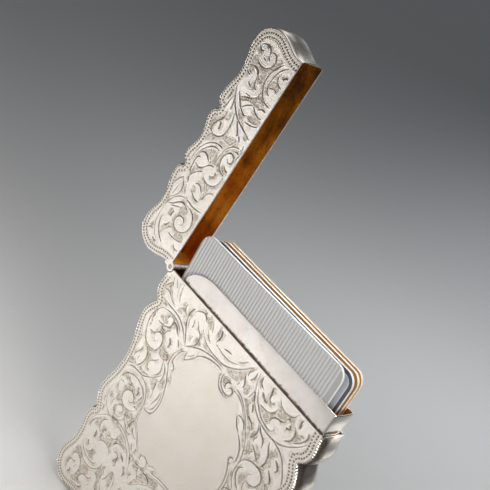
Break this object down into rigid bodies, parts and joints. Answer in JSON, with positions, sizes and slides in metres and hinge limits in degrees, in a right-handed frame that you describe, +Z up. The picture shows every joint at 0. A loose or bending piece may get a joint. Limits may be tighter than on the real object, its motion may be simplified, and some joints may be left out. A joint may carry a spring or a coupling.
{
  "type": "card case",
  "caption": "Flat engraved silver card case with a scalloped outline; its lid swings open on a side hinge over a plain collar that holds plain cards.",
  "frame": {"origin": "the middle of the closed case's outline, on the outer surface of the back face", "axes": "+X across the case, away from the hinge side; +Y out of the back face, so the front faces -Y; +Z up the case towards the lid"},
  "size_m": [0.0825, 0.0085, 0.1397],
  "materials": {
    "engraved_silver": "sterling silver, engraved, satin to bright, slightly toned in the cuts",
    "polished_silver": "sterling silver, mirror polished",
    "collar_silver": "sterling silver, plain satin polish, gilt inside",
    "hinge_silver": "toned silver gilt",
    "card_grey": "satin, fine ribs",
    "card_white": "gloss",
    "card_gold": "gloss, metallic gold face",
    "card_tan": "gloss"
  },
  "bodies": {
    "case_body": {"body_front_plate": "engraved_silver", "body_back_plate": "engraved_silver", "body_side_band": "polished_silver", "mouth_ledge": "polished_silver", "collar_front_wall": "collar_silver", "collar_back_wall": "collar_silver", "collar_end_wall": "polished_silver", "body_hinge_leaf": "hinge_silver", "card_1": "card_grey", "card_2": "card_white", "card_3": "card_gold", "card_4": "card_tan"},
    "lid": {"lid_front_plate": "engraved_silver", "lid_back_plate": "engraved_silver", "lid_side_band": "polished_silver", "lid_hinge_leaf": "hinge_silver", "hinge_pin": "hinge_silver"}
  },
  "joints": [
    {"name": "lid_hinge", "type": "hinge", "parent": "case_body", "child": "lid", "pos_m": [-0.0314, -0.00425, 0.0282], "axis": [0, -1, 0], "range_deg": [-86, 0]}
  ]
}
